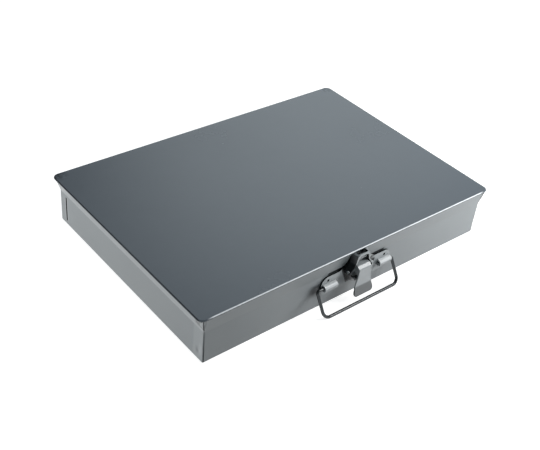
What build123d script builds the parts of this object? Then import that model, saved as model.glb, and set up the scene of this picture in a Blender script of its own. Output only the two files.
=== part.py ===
from build123d import *
import os

# Steel compartment box, closed, standing on its floor.
# X runs right along the front, Y runs back, Z up; the origin is on the floor under the middle of the lid.

# Overall sizes
lid_length = 340.0
lid_width = 235.0
box_height = 50.0

# Lid: a flat sheet whose edges are folded under and pressed shut
lid_sheet = 0.9
hem_thickness = 1.9
hem_width = 12.0
hem_edge_radius = 0.9
lid_corner_radius = 6.0
mitre_slit = 0.4

# Tray: one folded sheet; the walls stand in from the lid's edge and flare out to meet it
body_sheet = 0.8
end_inset = 6.4
front_inset = 3.0
rim_inset = 1.5
flare_depth = 13.8
flare_bend_radius = 5.0
fold_radius = 1.3
lid_seat_gap = 0.1
rim_cut_depth = 6.0
rim_height = box_height - hem_thickness - lid_seat_gap
flare_start = rim_height - flare_depth

# Corner tabs of the tray, lapped and welded at the end walls
lap_sheet = 0.8
lap_width = 18.0
lap_below_flare = 3.0
back_seam_from_corner = 11.0
back_seam_gap = 1.2
seam_bottom = 5.0
seam_below_lap = 0.5

# Seams down the front wall's two edges, leaning out with the flare, and weld dents on the end walls
corner_seam_gap = 0.8
corner_seam_foot_in = 0.9
corner_seam_top_out = 0.3
corner_seam_bottom = 2.0
corner_seam_below_rim = 2.0
weld_from_corner = 6.6
weld_height = 10.0
weld_radius = 9.8
weld_depth = 0.25

# Compartments: rows of scoop-bottomed troughs with cross partitions
rows = 3
columns = 4
trough_sheet = 0.6
trough_below_rim = 2.0
scoop_radius = 19.0
trough_gap = 0.1
partition_sheet = 0.8
partition_gap = 0.1

# Piano hinge along the back edge
hinge_length = 300.0
hinge_knuckles = 15
hinge_pin_radius = 0.8
hinge_fit = 0.05
hinge_sheet = 0.7
hinge_side_gap = 0.2
hinge_leaf_depth = 13.0
hinge_lid_leaf_reach = 10.0
hinge_under_hem = 0.15
leaf_over_rim = 0.15

# Heights of the handle plate, the bail's pivot, the catch and the keeper are measured from the lever's pin
pin_drop = 19.0

# Handle plate, pressed from one sheet and welded to the front wall
plate_sheet = 1.6
plate_half_length = 41.5
plate_bottom = -17.0
plate_shoulder = 1.5
plate_corner_radius = 5.0
plate_top_radius = 7.5
crown_base_half = 21.0
crown_mid_half = 12.6
crown_mid_height = 7.5
crown_top_half = 9.4
crown_top = 16.3
crown_fillet = 4.0
crown_corner_radius = 2.6
plate_wall_gap = 0.1

# Catch housing: a bell-shaped dome raised from the plate, open in front and at its top
dome_wall = 1.2
dome_rim_out = 7.5
dome_base_halves = (8.0, 16.6, 10.4, 8.9)
dome_base_heights = (-15.4, -1.0, 8.5, crown_top)
dome_rim_halves = (6.0, 14.6, 8.4, 6.6)
dome_rim_heights = (-11.5, -1.0, 7.5, crown_top)
dome_fillet = 3.2
dome_slot_half = 5.8
dome_slot_depth = 2.4
crown_relief_start = 0.5
dome_lip = 1.1
dome_lip_height = 2.0

# Weld dimples of the plate
dimple_x = 33.8
dimple_z = -2.6
dimple_radius = 1.3
dimple_depth = 1.2

# Bail handle of round wire and the two knuckles that hold it; the bail has slid to one side in them
wire_radius = 1.5
bail_half_width = 44.8
bail_side_shift = -2.2
bail_pivot_height = -8.2
bail_wall_clearance = 0.1
bail_reach = 13.3
bail_end_half = 29.0
bail_shoulder_radius = 2.4
bail_corner_radius = 6.5
knuckle_inner_half = 25.6
knuckle_outer_half = 40.0
knuckle_fit = 0.08

# Catch lever and its pin
lever_sheet = 1.2
lever_fit = 0.06
lever_reach = 20.0
pin_radius = 1.2
pin_out = 5.1
pin_end_in = 0.6
neck_out = 2.6
neck_foot_height = 5.6
neck_half = 3.3
neck_shoulder_half = 4.4
neck_shoulder_height = 9.4
neck_slope = 1.0
nose_out = 4.5
nose_height = 12.3
nose_bend_radius = 0.66
ledge_half = 7.0
ledge_back = (8.2, 5.2)
ledge_front = (11.0, 2.9)
paddle_bend = (11.4, -14.0)
paddle_foot = (14.1, -24.7)
paddle_bottom = -24.1
paddle_half = 11.0
paddle_waist = (8.4, -9.0)
paddle_neck_height = -1.0
paddle_cheek_height = -20.0
paddle_corner_radius = 2.8
ear_radius = 2.7
ear_top = (3.5, 2.2)
ear_ledge = (7.8, 5.0)
ear_front = (11.1, -4.0)
ear_low = (5.9, -2.4)
lever_bend_radius = 1.5
ledge_bend_radius = 0.9
paddle_bend_radius = 9.0

# Lid keeper: a bent strip under the lid, with a window that the lever's neck stands in
keeper_sheet = 1.0
keeper_bend_radius = 0.6
keeper_half = 4.9
keeper_flange = 6.0
keeper_web_in = 2.2
keeper_lip_top = 11.5
keeper_lip_out = 6.0
keeper_window_half = 3.7
keeper_window_back_in = 1.1
keeper_window_front_out = 4.8
notch_half = 5.6
notch_bottom = 7.2
trough_notch_half = 6.4
trough_notch_bottom = 9.4
trough_notch_depth = 11.0

# Torsion spring on the lever's pin
spring_wire = 0.35
spring_wire_sides = 6
spring_radius = 1.75
spring_turns = 4
spring_pitch = 0.9
spring_leg = 4.9

# Sizes worked out from the ones above
lap_top = flare_start - lap_below_flare
seam_top = lap_top - seam_below_lap
trough_top = rim_height - trough_below_rim
pin_height = box_height - pin_drop
end_half = lid_length / 2 - end_inset
end_rim_half = lid_length / 2 - rim_inset
front_half = lid_width / 2 - front_inset
front_rim_half = lid_width / 2 - rim_inset
wall_out = front_half
plate_out = wall_out + plate_sheet
rim_out = wall_out + dome_rim_out
tolerance = 1e-6


def tray_section(half, low_rim, high_rim):
    """Outline of the tray across one direction: two walls that may flare out above flare_start."""
    with BuildSketch() as outline:
        with BuildLine():
            Polyline(
                (-half, 0),
                (half, 0),
                (half, flare_start),
                (high_rim, rim_height),
                (-low_rim, rim_height),
                (-half, flare_start),
                close=True,
            )
        make_face()
        bends = outline.vertices().filter_by(lambda v: abs(v.Y - flare_start) < tolerance)
        fillet([v for v in bends if (low_rim if v.X < 0 else high_rim) > half], radius=flare_bend_radius)
    return outline.sketch


# Tray: the space inside both outlines, shelled to the sheet's thickness
with BuildPart() as box_body:
    end_outline = tray_section(end_half, end_rim_half, end_rim_half)
    side_outline = tray_section(front_half, front_rim_half, front_half)
    with BuildSketch(Plane.XZ):
        add(end_outline)
    extrude(amount=lid_width, both=True)
    with BuildSketch(Plane.YZ):
        add(side_outline)
    extrude(amount=lid_length, both=True, mode=Mode.INTERSECT)
    floor_face = box_body.faces().sort_by(Axis.Z)[0]
    rim_face = box_body.faces().sort_by(Axis.Z)[-1]
    rim_edges = rim_face.edges()
    corner_edges = [
        e
        for e in box_body.edges()
        if abs(e.center().X) > end_half - body_sheet
        and abs(e.center().Y) > front_half - body_sheet
        and e not in rim_edges
    ]
    fillet(list(floor_face.edges()) + corner_edges, radius=fold_radius)
    offset(amount=-body_sheet, openings=box_body.faces().sort_by(Axis.Z)[-1])
    # Laps inside the corners, behind the seams
    for side in (-1, 1):
        for corner in (-1, 1):
            lap_x = side * (end_half - body_sheet - lap_sheet / 2)
            lap_y = corner * (front_half - body_sheet - lap_width / 2)
            with Locations((lap_x, lap_y, (body_sheet + lap_top) / 2)):
                Box(lap_sheet, lap_width, lap_top - body_sheet)
    # Seams where the back tabs' edges meet the end walls
    seam_y = front_half - back_seam_from_corner
    for side in (-1, 1):
        with Locations((side * (end_half - body_sheet / 2), seam_y, (seam_bottom + seam_top) / 2)):
            Box(body_sheet, back_seam_gap, seam_top - seam_bottom, mode=Mode.SUBTRACT)
    # Seams down the front wall's edges
    with BuildSketch(Plane.XZ.offset(front_half)):
        for side in (-1, 1):
            with BuildLine():
                Line(
                    (side * (end_half - corner_seam_foot_in), corner_seam_bottom),
                    (side * (end_half + corner_seam_top_out), rim_height - corner_seam_below_rim),
                )
            trace(line_width=corner_seam_gap)
    extrude(amount=-body_sheet, mode=Mode.SUBTRACT)
    # Weld dents, one on each end wall near the front
    for side in (-1, 1):
        weld_x = side * (end_half + weld_radius - weld_depth)
        with Locations((weld_x, weld_from_corner - front_half, weld_height)):
            Sphere(weld_radius, mode=Mode.SUBTRACT)
    # Notch in the front rim for the lid's keeper
    with Locations((0, -front_half, pin_height + notch_bottom)):
        Box(
            2 * notch_half,
            rim_cut_depth,
            box_height,
            align=(Align.CENTER, Align.CENTER, Align.MIN),
            mode=Mode.SUBTRACT,
        )
    # Back rim lowered under the hinge's lid leaf
    leaf_underside = box_height - hem_thickness - hinge_under_hem - hinge_sheet
    with Locations((0, front_half, leaf_underside - leaf_over_rim)):
        Box(
            hinge_length + 2 * hinge_side_gap,
            rim_cut_depth,
            box_height,
            align=(Align.CENTER, Align.CENTER, Align.MIN),
            mode=Mode.SUBTRACT,
        )
box_body.part.label = "box_body"

# Lid: flat panel with its hem all round, mitred at the corners
with BuildPart() as lid:
    hem_underside = box_height - hem_thickness
    with BuildSketch(Plane.XY.offset(hem_underside)):
        RectangleRounded(lid_length, lid_width, lid_corner_radius)
    extrude(amount=hem_thickness)
    fillet(
        lid.faces().sort_by(Axis.Z)[0].edges() + lid.faces().sort_by(Axis.Z)[-1].edges(),
        radius=hem_edge_radius,
    )
    with BuildSketch(Plane.XY.offset(hem_underside)):
        Rectangle(lid_length - 2 * hem_width, lid_width - 2 * hem_width)
    extrude(amount=hem_thickness - lid_sheet, mode=Mode.SUBTRACT)
    slit_length = hem_width * 2**0.5 - 2 * lid_corner_radius
    slit_in = hem_width / 2 + lid_corner_radius / 3
    for side in (-1, 1):
        for corner in (-1, 1):
            slit_x = side * (lid_length / 2 - slit_in)
            slit_y = corner * (lid_width / 2 - slit_in)
            with Locations(Location((slit_x, slit_y, hem_underside), (0, 0, 45 * side * corner))):
                Box(
                    slit_length,
                    mitre_slit,
                    hem_thickness - lid_sheet,
                    align=(Align.CENTER, Align.CENTER, Align.MIN),
                    mode=Mode.SUBTRACT,
                )
lid.part.label = "lid"

# Troughs: one curved sheet for each row, back to back
row_pitch = (2 * (front_half - body_sheet) - trough_gap) / rows
trough_width = row_pitch - trough_gap
trough_floor = body_sheet + trough_gap
trough_length = 2 * (end_half - body_sheet - lap_sheet - trough_gap)
row_names = ["front", "middle", "rear"]


def row_centre(row):
    """Y of a row's middle, counted from the front."""
    return (row - (rows - 1) / 2) * row_pitch


def scoop_line(centre, half, floor, radius):
    """Line of a scoop seen from its end: two upright walls and a rounded bottom."""
    return FilletPolyline(
        (centre - half, trough_top),
        (centre - half, floor),
        (centre + half, floor),
        (centre + half, trough_top),
        radius=radius,
    )


def make_trough(row):
    """One row's sheet; the front row's wall is notched for the keeper."""
    centre = row_centre(row)
    with BuildPart() as trough:
        with BuildSketch(Plane.YZ):
            with BuildLine():
                half = (trough_width - trough_sheet) / 2
                scoop_line(centre, half, trough_floor + trough_sheet / 2, scoop_radius)
            trace(line_width=trough_sheet)
        extrude(amount=trough_length / 2, both=True)
        if row == 0:
            with Locations((0, centre - trough_width / 2, pin_height + trough_notch_bottom)):
                Box(
                    2 * trough_notch_half,
                    rim_cut_depth,
                    box_height,
                    align=(Align.CENTER, Align.CENTER, Align.MIN),
                    mode=Mode.SUBTRACT,
                )
    return trough.part


def make_partition(row, column):
    """Upright plate that follows the scoop; the front middle one is notched for the keeper."""
    centre = row_centre(row)
    centre_x = (column + 1 - columns / 2) * trough_length / columns
    half = trough_width / 2 - trough_sheet - partition_gap
    with BuildPart() as partition:
        with BuildSketch(Plane.YZ.offset(centre_x)):
            with BuildLine():
                floor = trough_floor + trough_sheet + partition_gap
                scoop_line(centre, half, floor, scoop_radius - trough_sheet / 2 - partition_gap)
                Line((centre + half, trough_top), (centre - half, trough_top))
            make_face()
        extrude(amount=partition_sheet / 2, both=True)
        if row == 0 and abs(centre_x) < trough_notch_half:
            with Locations((centre_x, centre - half, pin_height + trough_notch_bottom)):
                Box(
                    2 * trough_notch_half,
                    2 * trough_notch_depth,
                    box_height,
                    align=(Align.CENTER, Align.CENTER, Align.MIN),
                    mode=Mode.SUBTRACT,
                )
    return partition.part


troughs = {}
partitions = {}
for row in range(rows):
    troughs[f"trough_{row_names[row]}"] = make_trough(row)
    for column in range(columns - 1):
        partitions[f"partition_{row_names[row]}_{column + 1}"] = make_partition(row, column)

# Piano hinge: a leaf on the back wall, a leaf under the lid, knuckles in turn along one pin
barrel_radius = hinge_pin_radius + hinge_fit + hinge_sheet
hinge_y = front_half + barrel_radius
hinge_z = box_height - hem_thickness - hinge_under_hem - barrel_radius
knuckle_pitch = hinge_length / hinge_knuckles


def cut_knuckles(first, reach_y, reach_z):
    """Cuts away every second knuckle place, starting with first, from the leaf being built."""
    for place in range(first, hinge_knuckles, 2):
        centre_x = (place + 0.5) * knuckle_pitch - hinge_length / 2
        with Locations((centre_x, reach_y, reach_z)):
            Box(
                knuckle_pitch + 2 * hinge_side_gap,
                2 * hinge_leaf_depth,
                2 * hinge_leaf_depth,
                align=(Align.CENTER, Align.MIN, Align.MIN),
                mode=Mode.SUBTRACT,
            )


with BuildPart() as hinge_leaf_body:
    with BuildSketch(Plane.YZ):
        with Locations((hinge_y, hinge_z)):
            Circle(barrel_radius)
        with Locations((front_half, hinge_z)):
            Rectangle(hinge_sheet, hinge_leaf_depth, align=(Align.MIN, Align.MAX))
        with Locations((hinge_y, hinge_z)):
            Circle(hinge_pin_radius + hinge_fit, mode=Mode.SUBTRACT)
    extrude(amount=hinge_length / 2, both=True)
    cut_knuckles(1, front_half, hinge_z - barrel_radius - hinge_side_gap)
hinge_leaf_body.part.label = "hinge_leaf_body"

with BuildPart() as hinge_leaf_lid:
    with BuildSketch(Plane.YZ):
        with Locations((hinge_y, hinge_z)):
            Circle(barrel_radius)
        with Locations((hinge_y, hinge_z + barrel_radius)):
            Rectangle(hinge_lid_leaf_reach, hinge_sheet, align=(Align.MAX, Align.MAX))
        with Locations((hinge_y, hinge_z)):
            Circle(hinge_pin_radius + hinge_fit, mode=Mode.SUBTRACT)
    extrude(amount=hinge_length / 2, both=True)
    cut_knuckles(0, hinge_y - barrel_radius - hinge_side_gap, hinge_z - barrel_radius)
hinge_leaf_lid.part.label = "hinge_leaf_lid"

with BuildPart() as hinge_pin:
    with BuildSketch(Plane.YZ):
        with Locations((hinge_y, hinge_z)):
            Circle(hinge_pin_radius)
    extrude(amount=hinge_length / 2, both=True)
hinge_pin.part.label = "hinge_pin"


# Planes of the catch, level with the lever's pin: seen from the front and from the right
front_plane = Plane(origin=(0, 0, pin_height), x_dir=(1, 0, 0), z_dir=(0, -1, 0))
side_plane = Plane(origin=(0, 0, pin_height), x_dir=(0, 1, 0), z_dir=(1, 0, 0))


def bell_face(halves, heights, wall, lip):
    """Bell outline, wider at the waist than at the crown; wall and lip move it inwards at sides and top."""
    foot, waist, shoulder, crown = (half - wall for half in halves)
    low, middle, high, top = heights
    with BuildSketch() as bell:
        with BuildLine():
            Polyline(
                (foot, low + wall),
                (waist, middle),
                (shoulder, high),
                (crown, top - lip),
                (-crown, top - lip),
                (-shoulder, high),
                (-waist, middle),
                (-foot, low + wall),
                close=True,
            )
        make_face()
        fillet(bell.vertices().sort_by(Axis.Y)[:-2], radius=dome_fillet)
        fillet(bell.vertices().group_by(Axis.Y)[-1], radius=crown_corner_radius)
    return bell.sketch


# Handle plate with the catch housing and the bail's two knuckles
with BuildPart() as handle_plate:
    with BuildSketch(front_plane.offset(wall_out)) as wings:
        with Locations((0, plate_bottom)):
            Rectangle(
                2 * plate_half_length, plate_shoulder - plate_bottom, align=(Align.CENTER, Align.MIN)
            )
        fillet(wings.vertices().group_by(Axis.Y)[0], radius=plate_corner_radius)
        fillet(wings.vertices().group_by(Axis.Y)[-1], radius=plate_top_radius)
        with BuildLine():
            Polyline(
                (crown_base_half, plate_shoulder - plate_corner_radius),
                (crown_base_half, plate_shoulder),
                (crown_mid_half, crown_mid_height),
                (crown_top_half, crown_top),
                (-crown_top_half, crown_top),
                (-crown_mid_half, crown_mid_height),
                (-crown_base_half, plate_shoulder),
                (-crown_base_half, plate_shoulder - plate_corner_radius),
                close=True,
            )
        make_face()
        shoulders = wings.vertices().filter_by(
            lambda v: abs(v.Y - plate_shoulder) < tolerance and abs(abs(v.X) - crown_base_half) < tolerance
        )
        bends = wings.vertices().filter_by(lambda v: abs(v.Y - crown_mid_height) < tolerance)
        fillet(shoulders + bends, radius=crown_fillet)
        fillet(wings.vertices().group_by(Axis.Y)[-1], radius=crown_corner_radius)
    extrude(amount=plate_sheet)
    # Knuckles: straps raised over the wire
    strap_radius = wire_radius + knuckle_fit + plate_sheet
    wire_out = plate_out + bail_wall_clearance + wire_radius
    for side in (-1, 1):
        strap_start = min(side * knuckle_inner_half, side * knuckle_outer_half)
        with BuildSketch(side_plane.offset(strap_start)):
            with Locations((-wire_out, bail_pivot_height)):
                Circle(strap_radius)
            with Locations((-wall_out, bail_pivot_height)):
                Rectangle(wire_out - wall_out, 2 * strap_radius, align=(Align.MAX, Align.CENTER))
        extrude(amount=knuckle_outer_half - knuckle_inner_half)
        with BuildSketch(side_plane.offset(strap_start)):
            with Locations((-wire_out, bail_pivot_height)):
                Circle(wire_radius + knuckle_fit)
            with Locations((-plate_out, bail_pivot_height)):
                Rectangle(
                    wire_out - plate_out, 2 * (wire_radius + knuckle_fit), align=(Align.MAX, Align.CENTER)
                )
        extrude(amount=knuckle_outer_half - knuckle_inner_half, mode=Mode.SUBTRACT)
    # Back of the plate flat again where the knuckles' rounds reached through it
    with BuildSketch(front_plane.offset(wall_out)):
        with Locations((0, bail_pivot_height)):
            Rectangle(2 * plate_half_length, 4 * strap_radius)
    extrude(amount=-strap_radius, mode=Mode.SUBTRACT)
    # Bell-shaped housing
    with BuildSketch(front_plane.offset(plate_out - dome_wall)):
        add(bell_face(dome_base_halves, dome_base_heights, 0, 0))
    with BuildSketch(front_plane.offset(rim_out)):
        add(bell_face(dome_rim_halves, dome_rim_heights, 0, 0))
    loft(ruled=True)
    with BuildSketch(front_plane.offset(wall_out)):
        add(bell_face(dome_base_halves, dome_base_heights, dome_wall, dome_lip_height))
    with BuildSketch(front_plane.offset(rim_out)):
        add(bell_face(dome_rim_halves, dome_rim_heights, dome_wall, dome_lip_height))
    loft(ruled=True, mode=Mode.SUBTRACT)
    # Open top, behind the rim's lip
    with Locations((0, -(rim_out - dome_lip), pin_height + crown_top)):
        Box(
            2 * dome_slot_half,
            dome_rim_out - dome_lip,
            2 * dome_slot_depth,
            align=(Align.CENTER, Align.MIN, Align.CENTER),
            mode=Mode.SUBTRACT,
        )
    # Back of the crown cleared for the flare of the front wall
    flare_slope = (front_rim_half - front_half) / (rim_height - flare_start)
    flare_foot = flare_start - pin_height
    flare_top_out = front_half + flare_slope * (crown_top - flare_foot) + plate_wall_gap
    with BuildSketch(side_plane):
        with BuildLine():
            Polyline(
                (-wall_out - plate_wall_gap, flare_foot),
                (-flare_top_out, crown_top),
                (-wall_out + plate_sheet, crown_top),
                (-wall_out + plate_sheet, crown_relief_start),
                (-wall_out, crown_relief_start),
                close=True,
            )
        make_face()
    extrude(amount=plate_half_length, both=True, mode=Mode.SUBTRACT)
    # Holes for the lever's pin
    with BuildSketch(side_plane):
        with Locations((-(wall_out + pin_out), 0)):
            Circle(pin_radius + lever_fit)
    extrude(amount=dome_base_halves[1], both=True, mode=Mode.SUBTRACT)
    # Weld dimples
    with BuildSketch(front_plane.offset(plate_out - dimple_depth)):
        with Locations((dimple_x, dimple_z), (-dimple_x, dimple_z)):
            Circle(dimple_radius)
    extrude(amount=2 * dimple_depth, mode=Mode.SUBTRACT)
handle_plate.part.label = "handle_plate"

# Bail: wire bent to a rectangle, its ends turned into the knuckles; it lies out on the floor
with BuildPart() as bail_handle:
    pivot_y = -wire_out
    pivot_z = pin_height + bail_pivot_height
    bar_y = pivot_y - bail_reach
    bar_z = wire_radius
    with BuildLine() as bail_path:
        FilletPolyline(
            (bail_side_shift - bail_end_half, pivot_y, pivot_z),
            (bail_side_shift - bail_half_width, pivot_y, pivot_z),
            (bail_side_shift - bail_half_width, bar_y, bar_z),
            (bail_side_shift + bail_half_width, bar_y, bar_z),
            (bail_side_shift + bail_half_width, pivot_y, pivot_z),
            (bail_side_shift + bail_end_half, pivot_y, pivot_z),
            radius=(bail_shoulder_radius, bail_corner_radius, bail_corner_radius, bail_shoulder_radius),
        )
    with BuildSketch(Plane((bail_side_shift - bail_end_half, pivot_y, pivot_z), z_dir=(-1, 0, 0))):
        Circle(wire_radius)
    sweep()
bail_handle.part.label = "bail_handle"


def out(distance, height):
    """A point of the catch in its side plane, by its distance from the front wall."""
    return (-(wall_out + distance), height)


# Catch lever: strip bent from nose to paddle, with two ears on the pin
with BuildPart() as latch_lever:
    with BuildSketch(side_plane):
        with BuildLine():
            FilletPolyline(
                out(nose_out, nose_height),
                out(neck_out, nose_height),
                out(neck_out, neck_foot_height),
                out(*ledge_back),
                out(*ledge_front),
                out(*paddle_bend),
                out(*paddle_foot),
                radius=(
                    nose_bend_radius,
                    lever_bend_radius,
                    lever_bend_radius,
                    ledge_bend_radius,
                    paddle_bend_radius,
                ),
            )
        trace(line_width=lever_sheet)
    extrude(amount=paddle_half, both=True)
    # Front outline of the strip: narrow neck, ledge, paddle widening to its rounded foot
    with BuildSketch(front_plane.offset(wall_out)) as front_outline:
        with BuildLine():
            Polyline(
                (0, nose_height + lever_sheet),
                (neck_half, nose_height + lever_sheet),
                (neck_half, neck_shoulder_height),
                (neck_shoulder_half, neck_shoulder_height - neck_slope),
                (neck_shoulder_half, ledge_back[1] + lever_sheet),
                (ledge_half, ledge_back[1] + lever_sheet / 2),
                (ledge_half, paddle_neck_height),
            )
            ThreePointArc(
                (ledge_half, paddle_neck_height), paddle_waist, (paddle_half, paddle_cheek_height)
            )
            Polyline(
                (paddle_half, paddle_cheek_height),
                (paddle_half, paddle_bottom),
                (0, paddle_bottom),
            )
            mirror(about=Plane.YZ)
        make_face()
        foot_corners = front_outline.vertices().group_by(Axis.Y)[0].filter_by(lambda v: abs(v.X) > ledge_half)
        fillet(foot_corners, radius=paddle_corner_radius)
    extrude(amount=lever_reach, mode=Mode.INTERSECT)
    # Ears
    for side in (-1, 1):
        ear_plane = side_plane.offset(side * (ledge_half - lever_sheet / 2))
        with BuildSketch(ear_plane):
            with BuildLine():
                Polyline(
                    out(*ear_top),
                    out(*ear_ledge),
                    out(*ledge_front),
                    out(*ear_front),
                    out(*ear_low),
                    close=True,
                )
            make_face()
            with Locations(out(pin_out, 0)):
                Circle(ear_radius)
            with Locations(out(pin_out, 0)):
                Circle(pin_radius + lever_fit, mode=Mode.SUBTRACT)
        extrude(amount=lever_sheet / 2, both=True)
latch_lever.part.label = "latch_lever"

# Lever's pin, its ends flush with the housing's cheeks
with BuildPart() as latch_pin:
    cheek_share = (pin_out - plate_sheet) / (dome_rim_out - plate_sheet)
    cheek_half = dome_base_halves[1] + (dome_rim_halves[1] - dome_base_halves[1]) * cheek_share
    with BuildSketch(side_plane):
        with Locations(out(pin_out, 0)):
            Circle(pin_radius)
    extrude(amount=cheek_half - pin_end_in, both=True)
latch_pin.part.label = "latch_pin"

# Torsion spring round the pin, one leg to the wall and one to the paddle
with BuildPart() as latch_spring:
    with BuildLine() as spring_path:
        coil = Helix(
            pitch=spring_pitch,
            height=spring_turns * spring_pitch,
            radius=spring_radius,
            center=(-spring_turns * spring_pitch / 2, -(wall_out + pin_out), pin_height),
            direction=(1, 0, 0),
        )
        Line(coil @ 1, coil @ 1 + (coil % 1) * spring_leg)
        Line(coil @ 0, coil @ 0 - (coil % 0) * spring_leg)
    with BuildSketch(Plane(coil @ 0 - (coil % 0) * spring_leg, z_dir=coil % 0)):
        RegularPolygon(spring_wire, spring_wire_sides)
    sweep(is_frenet=True)
latch_spring.part.label = "latch_spring"

# Keeper: flange welded under the lid, web down inside the front wall, windowed lip out through the notch
with BuildPart() as lid_keeper:
    web_in = wall_out - keeper_web_in
    lip_out = wall_out + keeper_lip_out
    keeper_top = box_height - hem_thickness - pin_height
    with BuildSketch(side_plane):
        with BuildLine():
            FilletPolyline(
                (-lip_out, keeper_lip_top - keeper_sheet / 2),
                (-web_in + keeper_sheet / 2, keeper_lip_top - keeper_sheet / 2),
                (-web_in + keeper_sheet / 2, keeper_top - keeper_sheet / 2),
                (-web_in + keeper_sheet / 2 + keeper_flange, keeper_top - keeper_sheet / 2),
                radius=keeper_bend_radius,
            )
        trace(line_width=keeper_sheet)
    extrude(amount=keeper_half, both=True)
    window_back = wall_out - keeper_window_back_in
    window_front = wall_out + keeper_window_front_out
    with BuildSketch(Plane.XY.offset(pin_height + keeper_lip_top)):
        with Locations((0, -window_back)):
            Rectangle(2 * keeper_window_half, window_front - window_back, align=(Align.CENTER, Align.MAX))
    extrude(amount=-keeper_sheet, mode=Mode.SUBTRACT)
lid_keeper.part.label = "lid_keeper"

# One STEP file for each piece
os.makedirs("parts", exist_ok=True)
pieces = {
    "box_body": box_body.part,
    "lid": lid.part,
    "hinge_leaf_body": hinge_leaf_body.part,
    "hinge_leaf_lid": hinge_leaf_lid.part,
    "hinge_pin": hinge_pin.part,
    "handle_plate": handle_plate.part,
    "bail_handle": bail_handle.part,
    "latch_lever": latch_lever.part,
    "latch_pin": latch_pin.part,
    "latch_spring": latch_spring.part,
    "lid_keeper": lid_keeper.part,
    **troughs,
    **partitions,
}
for name, piece in pieces.items():
    piece.label = name
    export_step(piece, f"parts/{name}.step")
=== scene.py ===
import math

import bpy
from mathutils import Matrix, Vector


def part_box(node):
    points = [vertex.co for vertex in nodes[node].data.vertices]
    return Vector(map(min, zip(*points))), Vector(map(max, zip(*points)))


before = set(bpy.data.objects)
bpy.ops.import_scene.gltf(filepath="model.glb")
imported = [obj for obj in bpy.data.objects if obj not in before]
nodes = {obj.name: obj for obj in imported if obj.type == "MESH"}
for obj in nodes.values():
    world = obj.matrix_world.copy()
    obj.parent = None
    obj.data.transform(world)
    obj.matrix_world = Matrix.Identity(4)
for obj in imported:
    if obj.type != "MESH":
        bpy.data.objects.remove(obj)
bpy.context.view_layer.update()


# Tray of one folded steel sheet: floor, front and back walls and two end walls that flare out under the
# lid, its corner tabs spot-welded on. Blue-grey stoved enamel, semi-gloss, with orange peel, with painted
# highlights and painted light along the bends and tab edges and painted shade in the seams.
tray_grey = (0.200, 0.218, 0.226)
tray_deep_grey = (0.182, 0.200, 0.210)
# Pale grey of the painted highlights and painted light on bends, flares, tabs and folds, and of pale seam
# edges
tray_pale_grey = (0.330, 0.350, 0.360)
tray_lip_shade_grey = (0.155, 0.171, 0.179)
tray_shade_grey = (0.140, 0.155, 0.160)
tray_dent_shade_grey = (0.060, 0.066, 0.070)
# Black of painted shade in seams, gaps and recesses, and of dark grime and marks
shade_and_grime_black = (0.010, 0.011, 0.012)
front_lean = 0.0015
end_flare = 0.0049
flare_depth = 0.0138
back_seam_inset = 0.0110
peel_depth = 0.00002


def feed(owner, socket, value):
    """Links value to socket where value is a socket too, and sets it there otherwise."""
    if isinstance(value, bpy.types.NodeSocket):
        owner.node_tree.links.new(value, socket)
    else:
        socket.default_value = value


def worked_out(owner, operation, *values):
    """Socket of one sum on numbers and other sockets, among the nodes of a material or of the room."""
    step = owner.node_tree.nodes.new("ShaderNodeMath")
    step.operation = operation
    for socket, value in zip(step.inputs, values):
        feed(owner, socket, value)
    return step.outputs["Value"]


def spread(owner, value, low, high, value_from=0.0, value_to=1.0, smooth=False):
    """Socket that goes from low to high as value goes from value_from to value_to."""
    step = owner.node_tree.nodes.new("ShaderNodeMapRange")
    step.interpolation_type = "SMOOTHSTEP" if smooth else "LINEAR"
    step.inputs["From Min"].default_value = value_from
    step.inputs["From Max"].default_value = value_to
    step.inputs["To Min"].default_value = low
    step.inputs["To Max"].default_value = high
    feed(owner, step.inputs["Value"], value)
    return step.outputs["Result"]


def blended(owner, kind, share, under, over):
    """Socket that goes from under to over as share goes from 0 to 1. Kind is RGBA or FLOAT."""
    mix = owner.node_tree.nodes.new("ShaderNodeMix")
    mix.data_type = kind
    used_inputs = [socket for socket in mix.inputs if socket.enabled]
    for socket, value in zip(used_inputs, (share, under, over)):
        feed(owner, socket, value)
    return next(socket for socket in mix.outputs if socket.enabled)


def noise(material, scale, detail=2.0, roughness=0.5):
    """Socket of soft noise, laid out by the piece's own coordinates."""
    place = material.node_tree.nodes.new("ShaderNodeTexCoord")
    cloud = material.node_tree.nodes.new("ShaderNodeTexNoise")
    cloud.inputs["Scale"].default_value = scale
    cloud.inputs["Detail"].default_value = detail
    cloud.inputs["Roughness"].default_value = roughness
    feed(material, cloud.inputs["Vector"], place.outputs["Object"])
    return cloud.outputs["Fac"]


def tones(material, value, dark, light, dark_until=0.0, light_from=1.0):
    """Socket of a colour that goes from dark to light with value."""
    ramp = material.node_tree.nodes.new("ShaderNodeValToRGB")
    ramp.color_ramp.elements[0].position = dark_until
    ramp.color_ramp.elements[0].color = (*dark, 1.0)
    ramp.color_ramp.elements[1].position = light_from
    ramp.color_ramp.elements[1].color = (*light, 1.0)
    feed(material, ramp.inputs["Fac"], value)
    return ramp.outputs["Color"]


def relief(material, height, strength, depth):
    """Bump node that follows height over the given depth."""
    bump = material.node_tree.nodes.new("ShaderNodeBump")
    bump.inputs["Strength"].default_value = strength
    bump.inputs["Distance"].default_value = depth
    feed(material, bump.inputs["Height"], height)
    return bump


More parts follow.
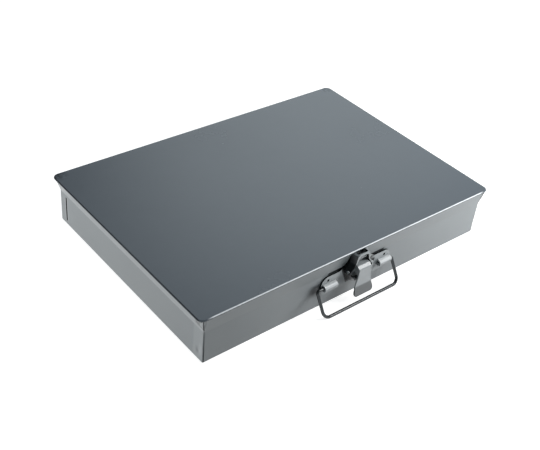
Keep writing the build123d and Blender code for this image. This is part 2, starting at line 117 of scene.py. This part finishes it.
def enamel(name, grey, deep_grey, gloss=0.28, wave=0.0005, specular=0.5, metallic=0.0):
    """Stoved enamel: two close greys mixed by slow noise, fine orange peel and slow sheet waves as bump,
    and a roughness that drifts a little where hands and cloths have polished it."""
    material = bpy.data.materials.new(name)
    material.use_nodes = True
    shader = material.node_tree.nodes["Principled BSDF"]
    shader.inputs["Specular IOR Level"].default_value = specular
    shader.inputs["Metallic"].default_value = metallic

    drift = noise(material, scale=14.0, detail=5.0, roughness=0.55)
    colour = tones(material, drift, deep_grey, grey, dark_until=0.30, light_from=0.62)
    feed(material, shader.inputs["Base Color"], colour)
    polish = spread(material, drift, low=gloss - 0.04, high=gloss + 0.07)
    feed(material, shader.inputs["Roughness"], polish)

    peel = noise(material, scale=420.0, detail=1.0)
    swell = noise(material, scale=9.0, detail=1.0)
    orange_peel = relief(material, peel, strength=0.15, depth=peel_depth)
    sheet_wave = relief(material, swell, strength=0.5, depth=wave)
    feed(material, sheet_wave.inputs["Normal"], orange_peel.outputs["Normal"])
    feed(material, shader.inputs["Normal"], sheet_wave.outputs["Normal"])
    return material


def dress(material, *names):
    """Puts one material on the named CAD nodes."""
    for name in names:
        nodes[name].data.materials.clear()
        nodes[name].data.materials.append(material)


def place_of(material):
    """Sockets of a point's place on the piece: x, y, z and side, which is x without its sign."""
    place = material.node_tree.nodes.new("ShaderNodeTexCoord")
    split = material.node_tree.nodes.new("ShaderNodeSeparateXYZ")
    feed(material, split.inputs["Vector"], place.outputs["Object"])
    side = worked_out(material, "ABSOLUTE", split.outputs["X"])
    return {"x": split.outputs["X"], "y": split.outputs["Y"], "z": split.outputs["Z"], "side": side}


def above(material, value, edge, soft):
    """Mask that goes smoothly from 0 to 1 as value passes edge, over soft on each side of it."""
    return spread(material, value, 0.0, 1.0, value_from=edge - soft, value_to=edge + soft, smooth=True)


def below(material, value, edge, soft):
    """Mask that goes smoothly from 1 to 0 as value passes edge, over soft on each side of it."""
    return above(material, value, edge, -soft)


def joined(material, *masks):
    """Mask that is the product of the given ones."""
    result = masks[0]
    for mask in masks[1:]:
        result = worked_out(material, "MULTIPLY", result, mask)
    return result


def between(material, value, low, high, soft):
    """Mask that is 1 where value lies from low to high, fading over soft at both ends."""
    return joined(material, above(material, value, low, soft), below(material, value, high, soft))


def patches(material, scale, threshold, soft):
    """Mask of irregular patches: noise above a threshold."""
    return above(material, noise(material, scale, detail=4.0), threshold, soft)


def paint(material, mask, grey, cover=1.0):
    """Lays another grey over the material's colour where mask is 1, hiding the share cover of it."""
    colour = material.node_tree.nodes["Principled BSDF"].inputs["Base Color"]
    under = colour.links[0].from_socket
    covered = worked_out(material, "MULTIPLY", mask, cover)
    feed(material, colour, blended(material, "RGBA", covered, under, (*grey, 1.0)))


def blacken_shade_and_grime(material, mask, cover=1.0):
    """Lays black over the material where mask is 1: painted shade in some places, dark grime and marks in
    others. Black there hardly shines: its reflection takes the black colour too, as a metal's does."""
    covered = worked_out(material, "MULTIPLY", mask, cover)
    paint(material, covered, shade_and_grime_black)
    metal = material.node_tree.nodes["Principled BSDF"].inputs["Metallic"]
    if metal.links:
        covered = worked_out(material, "MAXIMUM", metal.links[0].from_socket, covered)
    feed(material, metal, covered)


tray_enamel = enamel("tray_enamel", tray_grey, tray_deep_grey)
tray_low, tray_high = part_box("box_body")
front_wall_y = tray_low[1] + front_lean
end_wall_x = tray_high[0] - end_flare
rim_z = tray_high[2]
bend_z = rim_z - flare_depth
end_marks_x = end_wall_x - 0.0012
front_marks_y = front_wall_y + 0.0003
at = place_of(tray_enamel)
on_end = above(tray_enamel, at["side"], end_marks_x, soft=0.0001)
on_front = below(tray_enamel, at["y"], front_marks_y, soft=0.0001)

# Painted highlight along the line where the end walls bend out, and painted light on the flare above it
bend_highlight_z = (bend_z - 0.0004, bend_z + 0.0012)
bend_highlight = joined(tray_enamel, on_end, between(tray_enamel, at["z"], *bend_highlight_z, soft=0.0004))
paint(tray_enamel, bend_highlight, tray_pale_grey, cover=0.80)
flare_from_z = bend_z + 0.0005
flare = joined(tray_enamel, on_end, above(tray_enamel, at["z"], flare_from_z, soft=0.0006))
paint(tray_enamel, flare, tray_pale_grey, cover=0.35)

# Painted light on a pale band over the tab at the end walls' front edge, with dark marks near the rim
tab_edge_y = front_wall_y + 0.0135
front_tab_light = joined(tray_enamel, on_end, below(tray_enamel, at["y"], tab_edge_y, soft=0.0015))
paint(tray_enamel, front_tab_light, tray_pale_grey, cover=0.30)
tab_marks_to_y = front_wall_y + 0.0085
tab_marks_from_z = rim_z - 0.0090
tab_marks = joined(
    tray_enamel,
    on_end,
    below(tray_enamel, at["y"], tab_marks_to_y, soft=0.0020),
    above(tray_enamel, at["z"], tab_marks_from_z, soft=0.0025),
    patches(tray_enamel, scale=260.0, threshold=0.40, soft=0.10),
)
blacken_shade_and_grime(tray_enamel, tab_marks, cover=0.85)

# Painted shade and painted highlight on the two sides of the tab's weld dent
weld_dent_shade_y = (front_wall_y + 0.0070, front_wall_y + 0.0095)
weld_dent_shade_z = (0.0060, 0.0130)
weld_dent_shade = joined(
    tray_enamel,
    on_end,
    between(tray_enamel, at["y"], *weld_dent_shade_y, soft=0.0020),
    between(tray_enamel, at["z"], *weld_dent_shade_z, soft=0.0025),
)
paint(tray_enamel, weld_dent_shade, tray_dent_shade_grey, cover=0.50)
weld_dent_highlight_y = (front_wall_y + 0.0025, front_wall_y + 0.0050)
weld_dent_highlight_z = (0.0080, 0.0180)
weld_dent_highlight = joined(
    tray_enamel,
    on_end,
    between(tray_enamel, at["y"], *weld_dent_highlight_y, soft=0.0020),
    between(tray_enamel, at["z"], *weld_dent_highlight_z, soft=0.0035),
)
paint(tray_enamel, weld_dent_highlight, tray_pale_grey, cover=0.70)

# Back seam of the end walls: an open slot, painted black inside as painted shade, with paler strips
# along its edges
seam_y = tray_high[1] - back_seam_inset
seam_z = (0.0050, 0.0307)
seam_half = 0.0012
seam_worn_half = 0.0026
near_seam = joined(
    tray_enamel,
    on_end,
    between(tray_enamel, at["y"], seam_y - seam_worn_half, seam_y + seam_worn_half, soft=0.0006),
    between(tray_enamel, at["z"], *seam_z, soft=0.0015),
)
paint(tray_enamel, near_seam, tray_pale_grey, cover=0.50)
in_seam_shade = joined(
    tray_enamel,
    on_end,
    between(tray_enamel, at["y"], seam_y - seam_half, seam_y + seam_half, soft=0.0003),
    between(tray_enamel, at["z"], *seam_z, soft=0.0004),
)
blacken_shade_and_grime(tray_enamel, in_seam_shade)

# Painted shade on the front wall: a little darker above its bend and towards its left end
lip_from_z = bend_z + 0.0002
front_lip_shade = joined(tray_enamel, on_front, above(tray_enamel, at["z"], lip_from_z, soft=0.0006))
paint(tray_enamel, front_lip_shade, tray_lip_shade_grey, cover=0.50)
shade_to_x = -0.1250
front_shade = joined(tray_enamel, on_front, below(tray_enamel, at["x"], shade_to_x, soft=0.0350))
paint(tray_enamel, front_shade, tray_shade_grey, cover=0.50)

# Painted shade in the seams down the front wall's edges, which lean out a little, and more above the
# bend, and painted highlights on the folds past them. Along a seam, seam_side stays the same.
seam_foot_side = end_wall_x - 0.0009
seam_lean = 0.0273
seam_lean_over_bend = 0.165
over_bend = worked_out(
    tray_enamel, "MAXIMUM", worked_out(tray_enamel, "SUBTRACT", at["z"], bend_z), 0.0
)
upright_side = worked_out(tray_enamel, "MULTIPLY_ADD", at["z"], -seam_lean, at["side"])
seam_side = worked_out(tray_enamel, "MULTIPLY_ADD", over_bend, -seam_lean_over_bend, upright_side)
fold_from = seam_foot_side + 0.0003
fold_highlight = joined(tray_enamel, on_front, above(tray_enamel, seam_side, fold_from, soft=0.0002))
paint(tray_enamel, fold_highlight, tray_pale_grey, cover=0.85)
edge_seam_side = (seam_foot_side - 0.0006, seam_foot_side + 0.0004)
edge_seam_shade = joined(tray_enamel, on_front, between(tray_enamel, seam_side, *edge_seam_side, soft=0.0002))
blacken_shade_and_grime(tray_enamel, edge_seam_shade)

# Painted shadow along the handle plate's top edges
plate_edge_shadow_z = (0.0325, 0.0350)
plate_edge_shadow_side = (0.0170, 0.0335)
plate_edge_shadow = joined(
    tray_enamel,
    on_front,
    between(tray_enamel, at["z"], *plate_edge_shadow_z, soft=0.0004),
    between(tray_enamel, at["side"], *plate_edge_shadow_side, soft=0.0015),
)
blacken_shade_and_grime(tray_enamel, plate_edge_shadow, cover=0.90)
# Painted shadow and dark reflection of the bail's left leg on the front wall
bail_leg_shade_x = (-0.0530, -0.0420)
bail_leg_shade_z = (0.0165, 0.0255)
bail_leg_shade = joined(
    tray_enamel,
    on_front,
    between(tray_enamel, at["x"], *bail_leg_shade_x, soft=0.0045),
    between(tray_enamel, at["z"], *bail_leg_shade_z, soft=0.0040),
)
blacken_shade_and_grime(tray_enamel, bail_leg_shade, cover=0.85)
dress(tray_enamel, "box_body", "hinge_leaf_body", "hinge_leaf_lid")


# Lid of one flat sheet, its edges folded under and pressed shut, in the same enamel, its colour set
# darker as painted shade of the broad flat top. The hem has a painted highlight along the front and
# painted shade at the ends, and the back corners carry dark marks of the coining tool.
lid_shaded_grey = (0.075, 0.091, 0.110)
lid_shaded_deep_grey = (0.065, 0.080, 0.099)
lid_highlight_grey = (0.90, 0.93, 0.96)
hem_round = 0.0009
lid_shaded_enamel = enamel("lid_shaded_enamel", lid_shaded_grey, lid_shaded_deep_grey, gloss=0.24, wave=0.0003)
lid_low, lid_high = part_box("lid")
at = place_of(lid_shaded_enamel)

# Painted shade round the hem at the ends and on its underside along the front
end_hem_shade = above(lid_shaded_enamel, at["side"], lid_high[0] - hem_round, soft=0.0003)
blacken_shade_and_grime(lid_shaded_enamel, end_hem_shade, cover=0.65)
hem_under_z = lid_high[2] - 0.0011
hem_under_y = lid_low[1] + 0.0006
hem_shadow = joined(
    lid_shaded_enamel,
    below(lid_shaded_enamel, at["z"], hem_under_z, soft=0.0002),
    below(lid_shaded_enamel, at["y"], hem_under_y, soft=0.0002),
)
blacken_shade_and_grime(lid_shaded_enamel, hem_shadow, cover=0.90)

# Painted highlight: a pale line along the crest of the front hem, ending short of the corners
hem_crest_z = lid_high[2] - 0.0006
hem_crest_side = lid_high[0] - 0.0100
hem_crest_highlight = joined(
    lid_shaded_enamel,
    below(lid_shaded_enamel, at["y"], lid_low[1] + hem_round, soft=0.0002),
    above(lid_shaded_enamel, at["z"], hem_crest_z, soft=0.0002),
    below(lid_shaded_enamel, at["side"], hem_crest_side, soft=0.0040),
)
paint(lid_shaded_enamel, hem_crest_highlight, lid_highlight_grey, cover=0.90)

# Dark marks at the back corners
corner_side = lid_high[0] - 0.0100
corner_y = lid_high[1] - 0.0080
corner_marks = joined(
    lid_shaded_enamel,
    above(lid_shaded_enamel, at["side"], corner_side, soft=0.0070),
    above(lid_shaded_enamel, at["y"], corner_y, soft=0.0060),
    patches(lid_shaded_enamel, scale=220.0, threshold=0.45, soft=0.12),
)
blacken_shade_and_grime(lid_shaded_enamel, corner_marks, cover=0.70)
dress(lid_shaded_enamel, "lid")


# Troughs and partitions inside, of thinner sheet, spot-welded to one another and to the tray, in the
# tray's enamel with a duller finish.
inside_enamel = enamel("inside_enamel", tray_grey, tray_deep_grey, gloss=0.40)
dress(inside_enamel, *[name for name in nodes if name.startswith(("trough_", "partition_"))])


# Catch lever and the lid's keeper, heavier pressings, and the pin that the lever turns on, in a glossier
# coat of the same enamel. The foot of the lever's paddle is dark, and black at its two lower corners.
catch_grey = (0.300, 0.320, 0.330)
catch_deep_grey = (0.260, 0.280, 0.290)
catch_foot_grey = (0.020, 0.022, 0.023)
catch_coat = {"gloss": 0.22, "wave": 0.0001, "specular": 0.7}
catch_enamel = enamel("catch_enamel", catch_grey, catch_deep_grey, **catch_coat)
at = place_of(catch_enamel)
paddle_foot_z = 0.0165
paddle_foot = below(catch_enamel, at["z"], paddle_foot_z, soft=0.0012)
paint(catch_enamel, paddle_foot, catch_foot_grey, cover=0.75)
foot_corner_z = 0.0160
foot_corner_side = 0.0103
foot_corner = joined(
    catch_enamel,
    below(catch_enamel, at["z"], foot_corner_z, soft=0.0010),
    above(catch_enamel, at["side"], foot_corner_side, soft=0.0003),
)
blacken_shade_and_grime(catch_enamel, foot_corner, cover=0.80)
dress(catch_enamel, "latch_lever", "lid_keeper", "latch_pin")


# Handle plate with its bell-shaped catch housing and two bail knuckles, pressed from one sheet and
# welded to the front wall, in the catch's enamel. Its sheared edges are painted black, the housing's
# flanks carry painted shade, and the knuckles carry a painted highlight on top.
plate_highlight_grey = (0.62, 0.64, 0.65)
plate_sheet = 0.0016


def facing_of(material):
    """Sockets of the piece's own surface direction: x, y and z of its normal."""
    place = material.node_tree.nodes.new("ShaderNodeTexCoord")
    split = material.node_tree.nodes.new("ShaderNodeSeparateXYZ")
    feed(material, split.inputs["Vector"], place.outputs["Normal"])
    return {"x": split.outputs["X"], "y": split.outputs["Y"], "z": split.outputs["Z"]}


plate_enamel = enamel("plate_enamel", catch_grey, catch_deep_grey, **catch_coat)
plate_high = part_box("handle_plate")[1]
plate_front_y = plate_high[1] - plate_sheet
plate_top_z = plate_high[2]
at = place_of(plate_enamel)
facing = facing_of(plate_enamel)

# Black on the sheared edges, and painted shade down the housing's flanks
sheared_edge_y = plate_front_y + 0.0002
sheared_edge = above(plate_enamel, at["y"], sheared_edge_y, soft=0.0001)
blacken_shade_and_grime(plate_enamel, sheared_edge, cover=0.95)
flank_side = 0.0185
flank_to_z = plate_top_z - 0.0010
flank_facing_y = -0.80
flank_shade = joined(
    plate_enamel,
    below(plate_enamel, at["side"], flank_side, soft=0.0010),
    above(plate_enamel, facing["y"], flank_facing_y, soft=0.08),
    below(plate_enamel, at["z"], flank_to_z, soft=0.0004),
)
blacken_shade_and_grime(plate_enamel, flank_shade, cover=0.90)

# Painted highlight on the tops of the knuckles
knuckle_side = (0.0254, 0.0402)
knuckle_y = plate_front_y - 0.0006
knuckle_facing_z = 0.25
knuckle_top_highlight = joined(
    plate_enamel,
    between(plate_enamel, at["side"], *knuckle_side, soft=0.0004),
    below(plate_enamel, at["y"], knuckle_y, soft=0.0002),
    above(plate_enamel, facing["z"], knuckle_facing_z, soft=0.15),
)
paint(plate_enamel, knuckle_top_highlight, plate_highlight_grey, cover=0.80)

# Painted shadow of the housing on its left as far as a slanting line, and black in patches on its right
# and along the top edges
shadow_slant = 0.42
shadow_slant_x = -0.0050
housing_shadow_left_x = -0.0085
housing_shadow_left_z = (0.0165, plate_top_z - 0.0012)
slanted_x = worked_out(plate_enamel, "MULTIPLY_ADD", at["z"], shadow_slant, at["x"])
housing_shadow_left = joined(
    plate_enamel,
    above(plate_enamel, slanted_x, shadow_slant_x, soft=0.0008),
    below(plate_enamel, at["x"], housing_shadow_left_x, soft=0.0008),
    between(plate_enamel, at["z"], *housing_shadow_left_z, soft=0.0010),
)
blacken_shade_and_grime(plate_enamel, housing_shadow_left, cover=0.93)
right_dark_patches_x = (0.0150, 0.0215)
right_dark_patches_z = (0.0215, 0.0345)
right_dark_patches = joined(
    plate_enamel,
    between(plate_enamel, at["x"], *right_dark_patches_x, soft=0.0010),
    between(plate_enamel, at["z"], *right_dark_patches_z, soft=0.0015),
    patches(plate_enamel, scale=350.0, threshold=0.45, soft=0.10),
)
blacken_shade_and_grime(plate_enamel, right_dark_patches, cover=0.85)
top_edge_z = 0.0349
top_edge_side = (0.0180, 0.0400)
top_edge = joined(
    plate_enamel,
    above(plate_enamel, at["z"], top_edge_z, soft=0.0003),
    between(plate_enamel, at["side"], *top_edge_side, soft=0.0010),
)
blacken_shade_and_grime(plate_enamel, top_edge, cover=0.90)
dress(plate_enamel, "handle_plate")


# Bail of round wire with a dark glossy finish, its ends turned into the plate's knuckles.
bail_grey = (0.062, 0.066, 0.069)
bail_deep_grey = (0.044, 0.047, 0.049)
bail_coat = {"gloss": 0.13, "wave": 0.00002, "specular": 0.9, "metallic": 0.7}
bail_wire = enamel("bail_wire", bail_grey, bail_deep_grey, **bail_coat)
dress(bail_wire, "bail_handle")


# Hinge pin and the catch's torsion spring, of drawn steel wire browned by age.
steel_grey = (0.36, 0.35, 0.33)
steel_brown = (0.16, 0.15, 0.14)
drawn_steel = bpy.data.materials.new("drawn_steel")
drawn_steel.use_nodes = True
steel_shader = drawn_steel.node_tree.nodes["Principled BSDF"]
steel_shader.inputs["Metallic"].default_value = 1.0
draw_lines = noise(drawn_steel, scale=300.0)
steel_polish = spread(drawn_steel, draw_lines, low=0.28, high=0.50)
steel_colour = tones(drawn_steel, draw_lines, steel_brown, steel_grey)
feed(drawn_steel, steel_shader.inputs["Roughness"], steel_polish)
feed(drawn_steel, steel_shader.inputs["Base Color"], steel_colour)
dress(drawn_steel, "hinge_pin", "latch_spring")


# Pale table that the box stands on. It shows white to the camera and in reflections, and keeps the box's
# shadow.
table_half = 40.0
table_z = -0.0002
table_grey = (0.60, 0.60, 0.60)
table_roughness = 0.9
table_glow = 0.80
table_corners = [(-1, -1), (1, -1), (1, 1), (-1, 1)]


def seen_rays(owner):
    """Socket that is 1 for rays that reach the camera straight, in a reflection or through glass."""
    ray = owner.node_tree.nodes.new("ShaderNodeLightPath")
    seen = worked_out(owner, "MAXIMUM", ray.outputs["Is Camera Ray"], ray.outputs["Is Glossy Ray"])
    return worked_out(owner, "MAXIMUM", seen, ray.outputs["Is Transmission Ray"])


table_mesh = bpy.data.meshes.new("table")
table_points = [(x * table_half, y * table_half, table_z) for x, y in table_corners]
table_mesh.from_pydata(table_points, [], [(0, 1, 2, 3)])
table = bpy.data.objects.new("table", table_mesh)
bpy.context.scene.collection.objects.link(table)
table_white = bpy.data.materials.new("table_white")
table_white.use_nodes = True
table_shader = table_white.node_tree.nodes["Principled BSDF"]
table_shader.inputs["Base Color"].default_value = (*table_grey, 1.0)
table_shader.inputs["Roughness"].default_value = table_roughness
table_shader.inputs["Specular IOR Level"].default_value = 0.0
table_shader.inputs["Emission Color"].default_value = (1.0, 1.0, 1.0, 1.0)
glow = worked_out(table_white, "MULTIPLY", seen_rays(table_white), table_glow)
feed(table_white, table_shader.inputs["Emission Strength"], glow)
table_mesh.materials.append(table_white)


# Studio round the box: an even room with a white horizon, one large pale screen behind the box, to its
# right, and three softboxes.
room_colour = (0.87, 0.96, 1.0)
room_strength = 0.25
screen_strength = 2.30
screen_way = (0.60, 0.61, 0.52)
screen_edge = 0.957
screen_middle = 1.00
horizon_strength = 1.0
horizon_low = 0.27
horizon_high = 0.40
room = bpy.data.worlds.new("room")
room.use_nodes = True
bpy.context.scene.world = room
background = room.node_tree.nodes["Background"]
background.inputs["Color"].default_value = (*room_colour, 1.0)
look = room.node_tree.nodes.new("ShaderNodeTexCoord")
towards_screen = room.node_tree.nodes.new("ShaderNodeVectorMath")
towards_screen.operation = "DOT_PRODUCT"
towards_screen.inputs[1].default_value = screen_way
feed(room, towards_screen.inputs[0], look.outputs["Generated"])
pale_screen = spread(
    room,
    towards_screen.outputs["Value"],
    low=room_strength,
    high=screen_strength,
    value_from=screen_edge,
    value_to=screen_middle,
    smooth=True,
)
split = room.node_tree.nodes.new("ShaderNodeSeparateXYZ")
feed(room, split.inputs["Vector"], look.outputs["Generated"])
horizon = spread(room, split.outputs["Z"], 0.0, 1.0, horizon_high, horizon_low, smooth=True)
white_horizon = worked_out(room, "MULTIPLY", horizon, seen_rays(room))
strength = blended(room, "FLOAT", white_horizon, pale_screen, horizon_strength)
feed(room, background.inputs["Strength"], strength)


def softbox(name, place, aim, size, power, mirrored):
    """Rectangular area lamp at place, turned to face aim, its width level. Where mirrored is False it
    lights the box but doesn't show in reflections."""
    lamp = bpy.data.lights.new(name, "AREA")
    lamp.shape = "RECTANGLE"
    lamp.size, lamp.size_y = size
    lamp.energy = power
    holder = bpy.data.objects.new(name, lamp)
    holder.location = place
    way = Vector(place) - Vector(aim)
    tilt = math.atan2(math.hypot(way.x, way.y), way.z)
    turn = math.atan2(way.y, way.x) + math.pi / 2
    holder.rotation_euler = (tilt, 0.0, turn)
    holder.visible_glossy = mirrored
    bpy.context.scene.collection.objects.link(holder)


softbox(
    "right_softbox", place=(0.44, -0.33, 0.20), aim=(0.12, -0.11, 0.02),
    size=(0.20, 0.20), power=2.6, mirrored=False,
)
softbox(
    "left_softbox", place=(-0.95, 0.45, 0.22), aim=(-0.15, 0.0, 0.02),
    size=(0.50, 0.35), power=6.6, mirrored=False,
)
softbox(
    "edge_softbox", place=(0.78, -0.75, 0.95), aim=(0.05, -0.12, 0.04),
    size=(0.30, 0.30), power=4.5, mirrored=True,
)


# Camera where the photograph was taken from, found by fitting the box's corners. Angles are in degrees.
camera_place = (-0.482132, -0.522080, 0.528508)
camera_tilt = 53.1847
camera_roll = -5.0813
camera_turn = -38.8317
camera = bpy.data.objects.new("camera", bpy.data.cameras.new("camera"))
camera.data.sensor_width = 36.0
camera.data.lens = 60.81
camera.data.clip_start = 0.05
camera.location = camera_place
camera.rotation_euler = [math.radians(angle) for angle in (camera_tilt, camera_roll, camera_turn)]
bpy.context.scene.collection.objects.link(camera)
bpy.context.scene.camera = camera
bpy.context.scene.view_settings.view_transform = "Standard"
